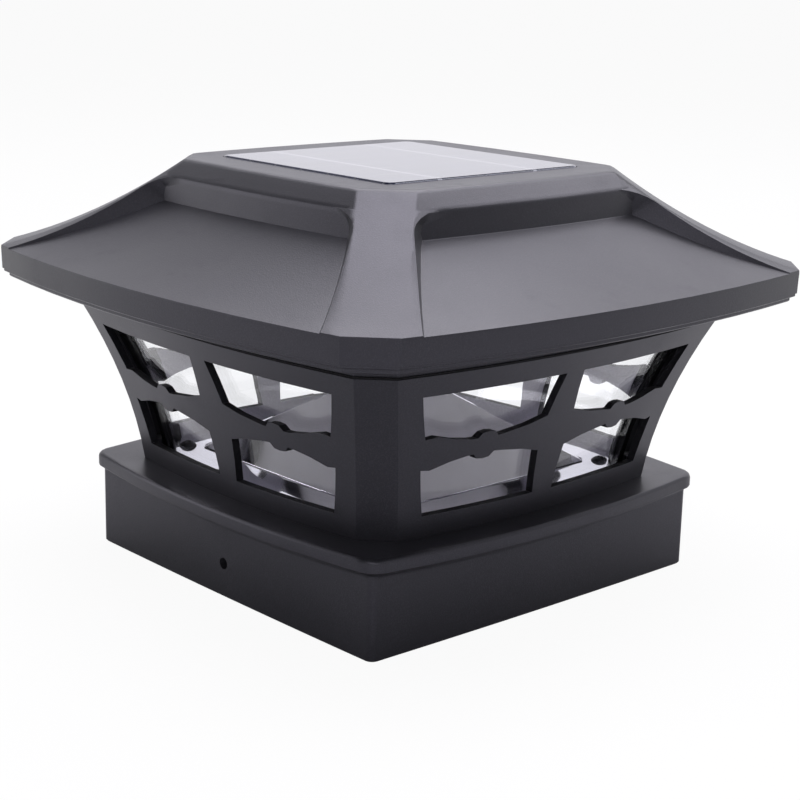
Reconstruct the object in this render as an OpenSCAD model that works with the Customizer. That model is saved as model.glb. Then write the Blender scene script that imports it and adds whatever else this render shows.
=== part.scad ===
// Deck post cap light: a solar lantern that slips over a square fence or deck post.
// The hip roof with the solar panel, cell, lamp and switch lifts off the lantern body.
// All lengths are millimetres. The origin is the centre of the open end of the skirt.

/* [Post and skirt] */
// Width of the square post that the skirt slips over
post_w = 127; // [118:1:134]
// Free gap between the post and the skirt on each side
post_gap = 1; // [0.4:0.1:1.4]
// Wall of the skirt at its corners
skirt_wall = 2.5; // [2:0.1:2.8]
// Outward bow of the skirt's sides
skirt_bow = 0.6; // [0.4:0.1:1.5]
// Corner radius of the skirt
skirt_r = 2.4; // [2:0.2:4]
// Depth of the socket, from the open end to the post stop
socket_depth = 24; // [20:1:24]
// Height of the screw holes above the open end
hole_z = 10.6; // [7:0.2:14]
// Diameter of the two screw holes
hole_d = 3.6; // [3:0.1:4.5]

/* [Flange] */
// Height of the flange top above the open end
flange_z = 30.5; // [29.5:0.5:33]
// Reach of the flange past the skirt at the corners
flange_over = 2.6; // [1.4:0.2:3.2]
// Corner radius of the flange
flange_r = 7; // [5:0.5:9]
// Thickness of the deck inside the flange
deck_t = 2.4; // [2:0.1:2.8]

/* [Lantern cage] */
// Step from the skirt face in to the foot of the cage
ledge = 6.7; // [6.1:0.2:7.7]
// Height of the cage
cage_h = 51.2; // [49:0.2:54]
// Straight part of the outward flare from foot to top
flare_line = 5.8; // [5:0.2:6.2]
// Curved part of the outward flare from foot to top
flare_curve = 8.4; // [8:0.2:9.2]
// Bow of the sides as a share of their half width
bow = 0.075; // [0.06:0.005:0.085]
// Width of the cut across the cage corners, along a side
cage_cut = 8.3; // [7:0.1:9.5]
// Wall of the cage
cage_wall = 2.6; // [2.2:0.1:3]

/* [Windows] */
// Height of the lower sill above the flange
sill_h = 6.6; // [6:0.2:7.4]
// Height of the window heads above the flange
head_h = 44.7; // [43:0.1:45.4]
// Width of each corner stile beside a window
stile_w = 7.9; // [7:0.1:9]
// Half width of the mullion at its head
mull_head = 3.6; // [3:0.1:4.4]
// Half width of the mullion where the twigs cross it
mull_mid = 5.5; // [4.8:0.1:6.2]
// Half width of the mullion at the sill
mull_foot = 4; // [3.4:0.1:4.8]
// Height of the twig's middle line above the flange
twig_h = 26; // [24:0.2:27.4]
// Half height of the twig at its waist
twig_waist = 2.5; // [2:0.1:3.2]
// Half height of the twig at its ends
twig_end = 5.4; // [4.6:0.1:6]
// Half width of the bud on each twig
bud_w = 3.7; // [3:0.1:4.4]
// Rise of the bud above and below the twig
bud_rise = 1.8; // [1:0.1:2.2]

/* [Lens and reflector] */
// Gap between the cage and the clear lens
lens_gap = 0.5; // [0.4:0.1:0.8]
// Wall of the clear lens
lens_wall = 1.6; // [1.2:0.1:2]
// Width of the cut across the lens corners, along a side
lens_cut = 13; // [12.5:0.5:14]
// Height of the reflector floor above the flange
floor_h = 3; // [2.6:0.1:3.4]
// Thickness of the reflector floor
floor_t = 1.4; // [1.2:0.1:1.6]
// Distance from the side of the reflector floor in to the pyramid
pyr_in = 13; // [12.6:0.2:18]
// Rise of the pyramid above the reflector floor
pyr_h = 29; // [24:0.5:30]
// Wall of the pyramid
pyr_wall = 1.5; // [1.2:0.1:2]
// Width of the flat strip along each ridge
ridge_w = 2.2; // [1.4:0.1:3]
// Distance from the reflector floor's corner cut in to its screws, along X and Y
floor_screw_in = 2.95; // [2.9:0.05:3.4]

/* [Roof] */
// Reach of the eave past the cage top
eave_over = 18.25; // [16:0.25:21]
// Height of the eave crease above the cage top
eave_z = 16.65; // [15:0.2:18]
// Height of the fascia below the crease
fascia_h = 7.2; // [6.6:0.2:8.4]
// Rise of the top plate above the eave crease
roof_rise = 28.65; // [26:0.5:31]
// Width of the cut across the roof corners, along a side
roof_cut = 10.9; // [9.5:0.1:12]
// Sag of the hip ribs below a straight line, as a share of the rise
rib_sag = 0.43; // [0.3:0.01:0.5]
// Sag of the recessed panels, as a share of their drop
panel_sag = 0.3; // [0.05:0.01:0.35]
// Height of the wall at the head of each recessed panel
recess_h = 8.1; // [6:0.1:8.5]
// Wall of the roof moulding
roof_wall = 2.2; // [1.8:0.1:2.6]
// Width of the rim around the solar panel
rim_w = 12; // [10.5:0.5:13.5]

/* [Solar panel] */
// Width of the solar panel
panel_w = 78.4; // [74:0.2:82]
// Gap around the solar panel
panel_gap = 0.4; // [0.3:0.1:0.7]
// Depth of the pocket for the panel
pocket_d = 3; // [2.8:0.1:3.4]
// Corner radius of the panel
panel_r = 2.4; // [1.5:0.1:3.5]
// Number of cell strips across the panel
cell_strips = 6; // [4:1:8]

/* [Tray] */
// Thickness of the lip under the fascia
lip_t = 2.8; // [2.4:0.1:3]
// Step from the fascia in to the lower part of the lip
lip_in = 2.1; // [1.6:0.1:2.4]
// Depth of the spigot that drops into the cage
spigot_h = 5.2; // [4.6:0.1:5.3]
// Gap between the spigot and the cage
spigot_gap = 0.4; // [0.3:0.05:0.6]
// Thickness of the tray walls and floor
tray_t = 2; // [1.8:0.1:2.2]
// Thickness of the top seal
seal_t = 0.5; // [0.4:0.1:0.8]

/* [Power and lamp] */
// Diameter of the rechargeable cell
cell_d = 14; // [13.5:0.1:14.5]
// Length of the rechargeable cell
cell_l = 49.5; // [48.5:0.1:50.5]
// Distance of the cell from the middle
cell_y = 31.5; // [30.5:0.1:33]
// Thickness of the cell compartment walls
box_wall = 1.5; // [1.2:0.1:1.8]
// Gap around the compartment door
door_gap = 0.4; // [0.3:0.05:0.6]
// Diameter of the lamp dome
lamp_d = 5; // [4.6:0.1:5.6]
// Distance of the switch from the middle
switch_y = 30; // [26:0.5:34]
// Travel of the switch knob
switch_travel = 3; // [2:0.25:3.5]
// Diameter of the hook-up leads
lead_d = 1.2; // [1:0.1:1.4]

/* [Screws] */
// Shank diameter of the screws
screw_d = 2.9; // [2.6:0.1:3.1]
// Head diameter of the screws
head_d = 5.4; // [5:0.1:6]
// Head height of the screws
head_t = 1.7; // [1.4:0.1:2]
// Gap between a screw and its hole
screw_gap = 0.1; // [0.05:0.05:0.2]

/* [Hidden] */
eps = 0.01;

// ---- plan sizes, each a half width ----
skirt_a = post_w / 2 + post_gap + skirt_wall;
socket_a = post_w / 2 + post_gap;
flange_a = skirt_a + flange_over;
foot_a = skirt_a - ledge;
cage_top_a = foot_a + flare_line + flare_curve;
eave_a = cage_top_a + eave_over;
pocket_a = panel_w / 2 + panel_gap;
top_a = panel_w / 2 + rim_w;
lip_a = eave_a - 0.6;
step_a = eave_a - lip_in;

// ---- heights ----
cage_top_z = flange_z + cage_h;
crease_z = cage_top_z + eave_z;
fascia_z = crease_z - fascia_h;
top_z = crease_z + roof_rise;
floor_z = flange_z + floor_h;
seat_z = flange_z - deck_t;
lens_top_z = cage_top_z - spigot_h - 0.3;
shoulder_z = cage_top_z + seal_t;
ceiling_z = shoulder_z + 0.2;
tray_floor_z = ceiling_z + tray_t;

// ---- rings of points and the skins between them ----
side_n = 10;
side_t = [for (i = [0:side_n]) -1 + 2 * i / side_n];
function quarter(q, z) = [for (k = [0:3], p = q)
    [p[0] * cos(90 * k) - p[1] * sin(90 * k), p[0] * sin(90 * k) + p[1] * cos(90 * k),
     len(p) > 2 ? p[2] : z]];
// one side bowed out by b, its corners cut by c
function pillow(a, z, c, b) = quarter([for (t = side_t) [t * (a - c), -(a + b * (1 - t * t))]], z);
// one side bowed out by b, its corners rounded by r; zm is the height at the middle of the side
function cushion(a, z, r, b, zm) = quarter(concat(
    [for (t = side_t) [t * (a - r), -(a + b * (1 - t * t)), z + (zm - z) * (1 - t * t)]],
    [for (i = [1:4]) [a - r + r * sin(18 * i), -(a - r) - r * cos(18 * i), z]]), z);

// skins a stack of rings; a closed stack joins its last ring to its first
module skin(rings, closed = false) {
    n = len(rings[0]);
    m = len(rings);
    last = closed ? m - 1 : m - 2;
    sides = [for (j = [0:last], i = [0:n - 1], k = [0, 1])
        let (a = j * n + i, b = j * n + (i + 1) % n, d = (j + 1) % m * n)
        k == 0 ? [a, d + (i + 1) % n, b] : [a, d + i, d + (i + 1) % n]];
    caps = closed ? [] : [[for (i = [0:n - 1]) i], [for (i = [n - 1:-1:0]) (m - 1) * n + i]];
    polyhedron([for (r = rings) each r], concat(sides, caps), convexity = 8);
}

module corners4() { for (k = [0:3]) rotate(90 * k) children(); }

module rounded_plate(a, r, z0, z1) {
    translate([0, 0, z0]) linear_extrude(z1 - z0) {
        square([2 * a, 2 * (a - r)], center = true);
        square([2 * (a - r), 2 * a], center = true);
        for (x = [-1, 1], y = [-1, 1]) translate([x * (a - r), y * (a - r)]) circle(r, $fn = 48);
    }
}

module box(x0, x1, y0, y1, z0, z1) {
    translate([x0, y0, z0]) cube([x1 - x0, y1 - y0, z1 - z0]);
}

// a pan-head screw, its shank rising from the origin and its head below; for one driven from below
module screw(l) {
    cylinder(d = screw_d, h = l, $fn = 32);
    translate([0, 0, -head_t]) difference() {
        rotate_extrude($fn = 48) intersection() {
            translate([0, head_d * 0.6]) circle(head_d * 0.6, $fn = 64);
            square([head_d / 2, head_t]);
        }
        for (k = [0, 90]) rotate(k) translate([-head_d * 0.28, -0.35, -1]) cube([head_d * 0.56, 0.7, 1.9]);
    }
}

// ---- base: skirt, flange, deck and post stop ----
floor_a = foot_a - cage_wall - lens_gap - lens_wall - 0.4;
floor_cut = lens_cut - lens_wall;
floor_screw = floor_a - floor_cut / 2 - floor_screw_in;
base_bosses = [for (x = [-1, 1], y = [-1, 1]) [x * floor_screw, y * floor_screw]];
cage_post = foot_a - cage_cut / 2 - cage_wall / sqrt(2) - 0.9;
cage_posts = [for (x = [-1, 1], y = [-1, 1]) [x * cage_post, y * cage_post]];
post_d = 5.2;
cage_post_h = 5.5;
stop_w = 7;
stop_rib = 1.8;

module base() color("dimgray") {
    fb = bow * flange_a;
    zc = flange_z - 6.2;
    zm = flange_z - 8.9;
    difference() {
        skin([
            cushion(skirt_a - 0.4, 0, skirt_r, skirt_bow, 0),
            cushion(skirt_a, 0.5, skirt_r, skirt_bow, 0.5),
            cushion(skirt_a, zc, skirt_r, skirt_bow, zm),
            cushion(skirt_a + flange_over * 0.12, zc + 0.8, skirt_r * 0.8 + flange_r * 0.2, skirt_bow + (fb - skirt_bow) * 0.12, zm + 2),
            cushion(skirt_a + flange_over * 0.4, zc + 1.4, (skirt_r + flange_r) / 2, skirt_bow + (fb - skirt_bow) * 0.4, zm + 3.5),
            cushion(flange_a - 0.25, zc + 1.9, flange_r, fb, zm + 4.5),
            cushion(flange_a, zc + 2.3, flange_r, fb, zm + 5),
            cushion(flange_a, flange_z - 1.3, flange_r, fb, flange_z - 1.3),
            cushion(flange_a - 0.17, flange_z - 0.65, flange_r - 0.1, fb, flange_z - 0.65),
            cushion(flange_a - 0.6, flange_z - 0.18, flange_r - 0.3, fb, flange_z - 0.18),
            cushion(flange_a - 1.3, flange_z, flange_r - 0.7, fb, flange_z)]);
        rounded_plate(socket_a, skirt_r * 0.5, -1, socket_depth);
        difference() {
            rounded_plate(socket_a - stop_w, 2, socket_depth - eps, seat_z);
            for (k = [-1, 1], r = [0, 90]) rotate(r) translate([k * socket_a / 3 - stop_rib / 2, -socket_a, 0])
                cube([stop_rib, 2 * socket_a, flange_z]);
            for (p = base_bosses) translate(p) cylinder(d = post_d, h = flange_z, $fn = 48);
            for (p = cage_posts) translate(p) cylinder(d = head_d + 3.4, h = flange_z, $fn = 48);
        }
        translate([0, 0, hole_z]) rotate([90, 0, 0]) cylinder(d = hole_d, h = 3 * post_w, center = true, $fn = 48);
        for (p = base_bosses) translate(p) cylinder(d = screw_d + 2 * screw_gap, h = flange_z + 1, $fn = 32);
        for (p = cage_posts) translate(p) {
            cylinder(d = screw_d + 2 * screw_gap, h = flange_z + 1, $fn = 32);
            translate([0, 0, -1]) cylinder(d = head_d + 0.4, h = seat_z + 1, $fn = 48);
        }
    }
    for (p = base_bosses) translate([p[0], p[1], flange_z - eps]) difference() {
        cylinder(d = post_d - 0.2, h = floor_h - floor_t + eps, $fn = 48);
        translate([0, 0, -1]) cylinder(d = screw_d + 2 * screw_gap, h = floor_h + 2, $fn = 32);
    }
}

// ---- lantern cage ----
function flare(z) = let (s = (z - flange_z) / cage_h) flare_line * s + flare_curve * s * s;
function cage_a(z) = foot_a + flare(z);
wall_cut = cage_cut - cage_wall * (2 - sqrt(2));
cage_steps = 8;
function cage_ring(z, inset) = let (a = cage_a(z)) pillow(a - inset, z, inset > 0 ? wall_cut : cage_cut, bow * a);

// right half of the upper and lower window of one side, mirrored about the mullion
twig_z = flange_z + twig_h;
sill_z = flange_z + sill_h;
head_z = flange_z + head_h;
function stile_x(z) = cage_a(z) - cage_cut - stile_w;
function bud_x(z) = (mull_mid + stile_x(z)) / 2;
// upper edge of the twig, from the mullion out to the stile; k is 1 above and -1 below
function twig_edge(k) = let (b = bud_x(twig_z), s = stile_x(twig_z), z = twig_z, w = twig_waist, e = twig_end)
    [[mull_mid, z + k * (e + 0.2)], [mull_mid + 7, z + k * (e - 1.5)], [b - bud_w - 1.5, z + k * (w + 0.1)],
     [b - bud_w, z + k * w], [b - bud_w * 0.6, z + k * (w + bud_rise * 0.85)], [b, z + k * (w + bud_rise)],
     [b + bud_w * 0.6, z + k * (w + bud_rise * 0.85)], [b + bud_w, z + k * w], [b + bud_w + 2.4, z + k * (w + 0.1)],
     [s - 10, z + k * (e - 1.9)], [s - 3.5, z + k * (e - 0.2)], [s + k * 0.6, z + k * (e - 0.6)]];
function above() = concat([[mull_head, head_z]], twig_edge(1), [[stile_x(head_z), head_z]]);
function below() = concat([[mull_foot, sill_z]], twig_edge(-1), [[stile_x(sill_z), sill_z]]);

module cage() color("dimgray") {
    zs = [for (i = [0:cage_steps]) flange_z + cage_h * i / cage_steps];
    difference() {
        union() {
            skin(concat([for (z = zs) cage_ring(z, 0)],
                [for (i = [cage_steps:-1:0]) cage_ring(zs[i], cage_wall)]), closed = true);
            for (p = cage_posts) translate([p[0], p[1], flange_z]) cylinder(d = post_d - 0.3, h = cage_post_h, $fn = 48);
        }
        corners4() for (m = [0, 1]) mirror([m, 0, 0])
            translate([0, -socket_a * 0.72, 0]) rotate([90, 0, 0]) linear_extrude(cage_top_a) {
                polygon(above());
                polygon(below());
            }
        for (p = cage_posts) translate([p[0], p[1], flange_z - 1]) cylinder(d = screw_d + 2 * screw_gap, h = cage_post_h, $fn = 32);
    }
}

// ---- clear lens, reflector floor and pyramid ----
lens_foot_z = flange_z;
lens_steps = 6;
function lens_out(z) = cage_a(z) - cage_wall - lens_gap;
function lens_ring(z, inset) = pillow(lens_out(z) - inset, z, lens_cut - inset * (2 - sqrt(2)), bow * cage_a(z));

module lens() color("lightcyan", 0.4) {
    zs = [for (i = [0:lens_steps]) lens_foot_z + (lens_top_z - lens_foot_z) * i / lens_steps];
    skin(concat([for (z = zs) lens_ring(z, 0)],
        [for (i = [lens_steps:-1:0]) lens_ring(zs[i], lens_wall)]), closed = true);
}

pyr_a = floor_a - pyr_in;
module reflector_floor() color("silver") difference() {
    union() {
        skin([pillow(floor_a, floor_z - floor_t, floor_cut, bow * floor_a), pillow(floor_a, floor_z, floor_cut, bow * floor_a)]);
        difference() {
            skin([pillow(floor_a, flange_z, floor_cut, bow * floor_a), pillow(floor_a, floor_z - floor_t / 2, floor_cut, bow * floor_a)]);
            skin([for (z = [flange_z - 1, floor_z - floor_t / 2 + 1])
                pillow(floor_a - floor_t, z, floor_cut - floor_t * (2 - sqrt(2)), bow * floor_a)]);
        }
    }
    for (p = base_bosses) translate(p) cylinder(d = screw_d + 2 * screw_gap, h = floor_z + 1, $fn = 32);
}

// a pyramid with a flat strip of width w along each ridge
function ridged(a, z, w) = [for (k = [0:3], s = [-1, 1]) let (x = s * max(a - w / sqrt(2), 0.3), y = -max(a, 0.5))
    [x * cos(90 * k) - y * sin(90 * k), x * sin(90 * k) + y * cos(90 * k), z]];
module reflector_pyramid() color("silver") {
    z0 = floor_z;
    step = 1.2;
    difference() {
        skin([ridged(pyr_a + 1.6, z0, ridge_w + 1), ridged(pyr_a + 1.6, z0 + step, ridge_w + 1),
            ridged(pyr_a, z0 + step, ridge_w), ridged(1.2, z0 + pyr_h, 1.1)]);
        skin([ridged(pyr_a - 1.2 - pyr_wall * 1.6, z0 - 1, ridge_w), ridged(pyr_a - 1.2 - pyr_wall * 1.6, z0 + 0.4, ridge_w),
            ridged(1.1, z0 + pyr_h - pyr_wall * 1.6, 1)]);
    }
}

module floor_screw(i) color("gray") translate([base_bosses[i][0], base_bosses[i][1], floor_z]) rotate([180, 0, 0]) screw(floor_h + 6);
module floor_screw_1() floor_screw(0);
module floor_screw_2() floor_screw(1);
module floor_screw_3() floor_screw(2);
module floor_screw_4() floor_screw(3);
module cage_screw(i) color("gray") translate([cage_posts[i][0], cage_posts[i][1], seat_z]) screw(deck_t + cage_post_h - 1.3);
module cage_screw_1() cage_screw(0);
module cage_screw_2() cage_screw(1);
module cage_screw_3() cage_screw(2);
module cage_screw_4() cage_screw(3);

// ---- hip roof ----
rib_a0 = top_a + 1.4;
rib_z0 = top_z - 0.9;
rim_line = 0.1;
function rib(u) = [rib_a0 + (eave_a - rib_a0) * u, rib_z0 - (rib_z0 - crease_z) * ((1 + rib_sag) * u - rib_sag * u * u)];
rim = rib(rim_line);
head = [rim[0] + 0.9, rim[1] - recess_h];
eave_drop = 0.35;
function panel(w) = [head[0] + (eave_a - head[0]) * w,
    head[1] - (head[1] - crease_z + eave_drop) * ((1 + panel_sag) * w - panel_sag * w * w)];
top_bow = 1.4;
eave_bow = bow * eave_a;
// height of the rib and of the panel at half width a, and the wall between them
function rib_over(a) = let (u = (a - rib_a0) / (eave_a - rib_a0)) rib(u)[1];
function panel_over(a) = panel(max(0, (a - head[0]) / (eave_a - head[0])))[1];
function rib_wall(a) = rib_over(a) - panel_over(a);
// the foot of a rib's side wall on the panel, and its edge on the rib
function rib_side(a) = min(rim[0] - roof_cut + 0.4 + 0.82 * (a - rim[0]), a - roof_cut - 0.25);
wall_lean = 0.38;
function rib_foot(a) = rib_side(a) - wall_lean * rib_wall(a) - 0.3;
function rib_edge(a) = let (h = rib_wall(a)) min(rib_foot(a) + 0.4 + h * (0.22 + 0.02 * h), a - roof_cut - 0.25);

// one ring of the roof: rib columns at the corners, panel columns between them
// r = [half width, height, bow] of the ribs, p = the same of the panel,
// xf, xe = foot and edge of the rib's side wall
roof_t = [-1, -0.85, -0.6, -0.3, 0, 0.3, 0.6, 0.85, 1];
function roof_col(x, q, h) = [x, -(q[0] + q[2] * max(0, 1 - pow(x / h, 2))), q[1]];
function roof_ring(r, p, xf, xe) = let (xc = r[0] - roof_cut, xm = (xe + xc) / 2, hp = max(p[0] - roof_cut, xf))
    quarter(concat(
        [for (x = [-xc, -xm, -xe]) roof_col(x, r, xc)],
        [for (t = roof_t) roof_col(t * xf, p, hp)],
        [for (x = [xe, xm, xc]) roof_col(x, r, xc)]), 0);

// stations from the rim down to the eave: [rib station, wall share or none, panel station, corner rounding]
steps_wall = [[0.1026, 0.05, 7.9], [0.118, 0.2, 5], [0.143, 0.45, 2.5], [0.175, 0.75, 0.9], [0.208, 1, 0.15]];
steps_down = [[0.24, 0.006], [0.29, 0.07], [0.35, 0.15], [0.43, 0.26], [0.52, 0.38], [0.61, 0.5],
    [0.7, 0.62], [0.79, 0.74], [0.87, 0.85], [0.94, 0.93], [1, 1]];
function with_bow(q, s, b0) = [q[0], q[1], b0 + (eave_bow - b0) * s];
function band_ring(u) = let (q = with_bow(rib(u), u, top_bow), xc = q[0] - roof_cut)
    roof_ring(q, q, xc - 4, xc - 3.2);
function wall_ring(s) = let (r = with_bow(rib(s[0]), s[0], top_bow), xe = rib_edge(r[0]) - s[2],
    p = [rim[0] + 0.25 + (head[0] - rim[0] - 0.3) * s[1], rim[1] - 0.4 - (recess_h - 0.5) * s[1], 2],
    foot = rib_side(p[0]) - wall_lean * (rib_over(p[0]) - p[1]) - 0.3)
    roof_ring(r, p, min(xe - 0.4 * (r[1] - p[1]) - 0.6, foot), xe);
function down_ring(s) = let (r = with_bow(rib(s[0]), s[0], top_bow), p = with_bow(panel(s[1]), s[1], 2), xe = rib_edge(r[0]))
    roof_ring(r, p, min(rib_foot(p[0]), xe - 0.3), xe);
function plain_ring(a, z, b) = let (xc = a - roof_cut) roof_ring([a, z, b], [a, z, b], xc - 7, xc - 6);

// the inner skin follows the outer one a wall's width below it
steps_in = [[0.12, 0.2, 0], [0.22, 0.95, 0]];
steps_in_down = [[0.31, 0.07], [0.45, 0.25], [0.62, 0.5], [0.8, 0.75], [0.93, 0.9]];
function sunk(q, da, dz) = [q[0] - da, q[1] - dz, q[2]];
function in_ring(r, p, xf, xe) = let (xc = r[0] - roof_cut, e = min(xe + roof_wall, xc - 0.3))
    roof_ring(r, p, min(xf + roof_wall * 0.9, e - 0.4), e);
function wall_in(s) = let (r = sunk(with_bow(rib(s[0]), s[0], top_bow), 1.5, 1.5), xe = rib_edge(rib(s[0])[0]),
    p = [rim[0] - roof_wall + 0.4 * s[1], rim[1] - roof_wall - (recess_h - 0.6) * s[1], 2])
    in_ring(r, p, xe - 3.4 * s[1], xe);
function down_in(s) = let (r = sunk(with_bow(rib(s[0]), s[0], top_bow), 1.5, 1.6), q = with_bow(panel(s[1]), s[1], 2),
    p = sunk(q, 1, roof_wall), xe = rib_edge(rib(s[0])[0]))
    in_ring(r, p, min(rib_foot(q[0]), xe - 0.3), xe);

tray_screw_in = 12.65;
tray_screw = eave_a - tray_screw_in;
tray_posts = [for (x = [-1, 1], y = [-1, 1]) [x * tray_screw, y * tray_screw]];
pocket_z = top_z - pocket_d;
lead_x = 11;
lead_y = 20;

module roof_shell() color("dimgray") {
    in_a = eave_a - roof_wall;
    post_top = rib_over(tray_screw + roof_cut / 2) - 1.7;
    difference() {
        skin(concat(
            [ceiling_ring()],
            [for (s = steps_in) wall_in(s)],
            [for (s = steps_in_down) down_in(s)],
            [plain_ring(in_a, panel(0.93)[1] - roof_wall - 1.2, eave_bow), plain_ring(in_a, fascia_z, eave_bow),
             plain_ring(eave_a - 0.1, fascia_z, eave_bow), plain_ring(eave_a + 0.05, crease_z - eave_drop - 0.5, eave_bow)],
            [for (i = [len(steps_down) - 1:-1:0]) down_ring(steps_down[i])],
            [for (i = [len(steps_wall) - 1:-1:0]) wall_ring(steps_wall[i])],
            [for (u = [rim_line, 0.08, 0.045, 0]) band_ring(u)],
            [band_top(rim_pad = 0.9, z = top_z - 0.25), band_top(rim_pad = 2, z = top_z)]));
        rounded_plate(pocket_a, panel_r + panel_gap, pocket_z, top_z + 1);
        for (x = [-1, 1]) translate([x * lead_x, lead_y, pocket_z - 5]) cylinder(d = 4, h = 9, $fn = 32);
    }
    for (p = tray_posts) translate([p[0], p[1], fascia_z + 0.2]) difference() {
        cylinder(d = post_d + 1, h = post_top - fascia_z - 0.2, $fn = 48);
        translate([0, 0, -1]) cylinder(d = screw_d + 2 * screw_gap, h = 8, $fn = 32);
    }
}
function band_top(rim_pad, z) = let (a = rib_a0 - rim_pad, xc = a - roof_cut) roof_ring([a, z, top_bow], [a, z, top_bow], xc - 4, xc - 3.2);
function ceiling_ring() = let (z = pocket_z - roof_wall, a = rib_a0 + (rib_z0 - z) - roof_wall * 1.6, xc = a - roof_cut)
    roof_ring([a, z, top_bow], [a, z, top_bow], xc - 2, xc - 1);

// ---- tray: the roof's underside, with the spigot that drops into the cage ----
spigot_z = cage_top_z - spigot_h;
spigot_in = cage_wall + spigot_gap;
spigot_a = cage_a(spigot_z) - spigot_in;
spigot_cut = cage_cut - spigot_in * (2 - sqrt(2));
spigot_bow = bow * cage_a(spigot_z);
plug_a = cage_top_a - 0.8;
plug_bow = bow * cage_top_a;
lip_z = fascia_z - lip_t;
strip_t = 1.1;
rim_h = 3;
rim_gap = 0.3;
rim_a = eave_a - roof_wall - rim_gap;
function lip_cut(a) = roof_cut - (eave_a - a) * (2 - sqrt(2));

// door and hinge of the cell compartment
cell_zc = tray_floor_z + 0.3 + cell_d / 2;
box_in_x = cell_l / 2 + 2.25;
box_in_y = cell_d / 2 + 0.5;
box_top = cell_zc + cell_d / 2 + 0.5;
door_x = box_in_x + 0.2;
door_y = box_in_y + 0.8;
door_t = tray_t - 0.2;
hinge_y = -cell_y + door_y + 2;
hinge_z = ceiling_z - 0.4;
knuckle_r = 1.5;
knuckle_x = [18, 23];
lug_x = [knuckle_x[1] + 0.4, knuckle_x[1] + 2.4];
lug_r = 1.7;
pin_r = 0.92;
pin_fit = 0.08;

// switch
knob_w = 3;
knob_t = 2.4;
slot_x = (knob_w + switch_travel) / 2 + 0.3;
slot_y = knob_t / 2 + 0.3;

// board
board_x = 20;
board_y = [12, 38];
board_z = tray_floor_z + 7.6;
board_t = 1.4;
post_in = [3, 3.5];
board_posts = [for (x = [-1, 1], y = [board_y[0] + post_in[1], board_y[1] - post_in[1]]) [x * (board_x - post_in[0]), y]];
board_post_d = 5;

module roof_tray() color("dimgray") {
    difference() {
        union() {
            skin([
                pillow(spigot_a - tray_t, ceiling_z, spigot_cut - tray_t * (2 - sqrt(2)), spigot_bow),
                pillow(spigot_a - tray_t, spigot_z, spigot_cut - tray_t * (2 - sqrt(2)), spigot_bow),
                pillow(spigot_a, spigot_z, spigot_cut, spigot_bow),
                pillow(spigot_a, shoulder_z, spigot_cut, spigot_bow),
                pillow(plug_a, shoulder_z, cage_cut, plug_bow),
                pillow(plug_a, lip_z, cage_cut, plug_bow),
                pillow(step_a - 0.4, lip_z, lip_cut(step_a - 0.4), eave_bow),
                pillow(step_a, lip_z + 0.4, lip_cut(step_a), eave_bow),
                pillow(step_a, fascia_z - strip_t, lip_cut(step_a), eave_bow),
                pillow(lip_a - 0.25, fascia_z - strip_t, lip_cut(lip_a - 0.25), eave_bow),
                pillow(lip_a, fascia_z - strip_t + 0.25, lip_cut(lip_a), eave_bow),
                pillow(lip_a, fascia_z, lip_cut(lip_a), eave_bow),
                pillow(rim_a, fascia_z, roof_cut, eave_bow),
                pillow(rim_a, fascia_z + rim_h, roof_cut, eave_bow),
                pillow(rim_a - tray_t, fascia_z + rim_h, roof_cut - tray_t * (2 - sqrt(2)), eave_bow),
                pillow(rim_a - tray_t, fascia_z, roof_cut - tray_t * (2 - sqrt(2)), eave_bow),
                pillow(plug_a - tray_t, fascia_z, cage_cut - tray_t * (2 - sqrt(2)), plug_bow),
                pillow(plug_a - tray_t, tray_floor_z, cage_cut - tray_t * (2 - sqrt(2)), plug_bow)]);
            for (m = [0, 1]) mirror([m, 0, 0]) {
                translate([lug_x[0], hinge_y, hinge_z]) rotate([0, 90, 0]) cylinder(r = lug_r, h = lug_x[1] - lug_x[0], $fn = 48);
                box(lug_x[0], lug_x[1], hinge_y - lug_r + 0.2, hinge_y + lug_r - 0.2, hinge_z, tray_floor_z);
            }
            for (p = board_posts) translate([p[0], p[1], tray_floor_z - eps])
                cylinder(d = board_post_d, h = board_z - tray_floor_z + eps, $fn = 48);
        }
        // door opening, with a finger notch on the side away from the hinge
        box(-door_x - door_gap, door_x + door_gap, -cell_y - door_y - door_gap, -cell_y + door_y + door_gap, ceiling_z - 1, hinge_z);
        difference() {
            box(-door_x - door_gap, door_x + door_gap, -cell_y - door_y - door_gap, -cell_y + door_y + door_gap, hinge_z - eps, tray_floor_z + 1);
            for (x = [-1, 1]) box(x * (lug_x[0] + lug_x[1]) / 2 - 1, x * (lug_x[0] + lug_x[1]) / 2 + 1, hinge_y - lug_r, hinge_y + lug_r, 0, top_z);
        }
        translate([0, -cell_y - door_y - door_gap, ceiling_z - 1]) cylinder(d = 14, h = 1.9, $fn = 64);
        for (m = [0, 1]) mirror([m, 0, 0])
            box(knuckle_x[0] - 0.4, knuckle_x[1] + 0.4, hinge_y - 3, hinge_y + knuckle_r + 0.4, hinge_z - 3, tray_floor_z + 1);
        translate([0, hinge_y, hinge_z]) rotate([0, 90, 0]) cylinder(r = pin_r + pin_fit, h = 2 * lug_x[1] + 2, center = true, $fn = 48);
        translate([0, 0, ceiling_z - 1]) cylinder(d = lamp_d + 0.6, h = tray_t + 2, $fn = 48);
        box(-slot_x, slot_x, switch_y - slot_y, switch_y + slot_y, ceiling_z - 1, tray_floor_z + 1);
        for (p = tray_posts) translate([p[0], p[1], lip_z - 1]) cylinder(d = screw_d + 2 * screw_gap, h = lip_t + 2, $fn = 32);
        for (p = board_posts) translate([p[0], p[1], board_z - 5]) cylinder(d = 2, h = 6, $fn = 32);
    }
}

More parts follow.
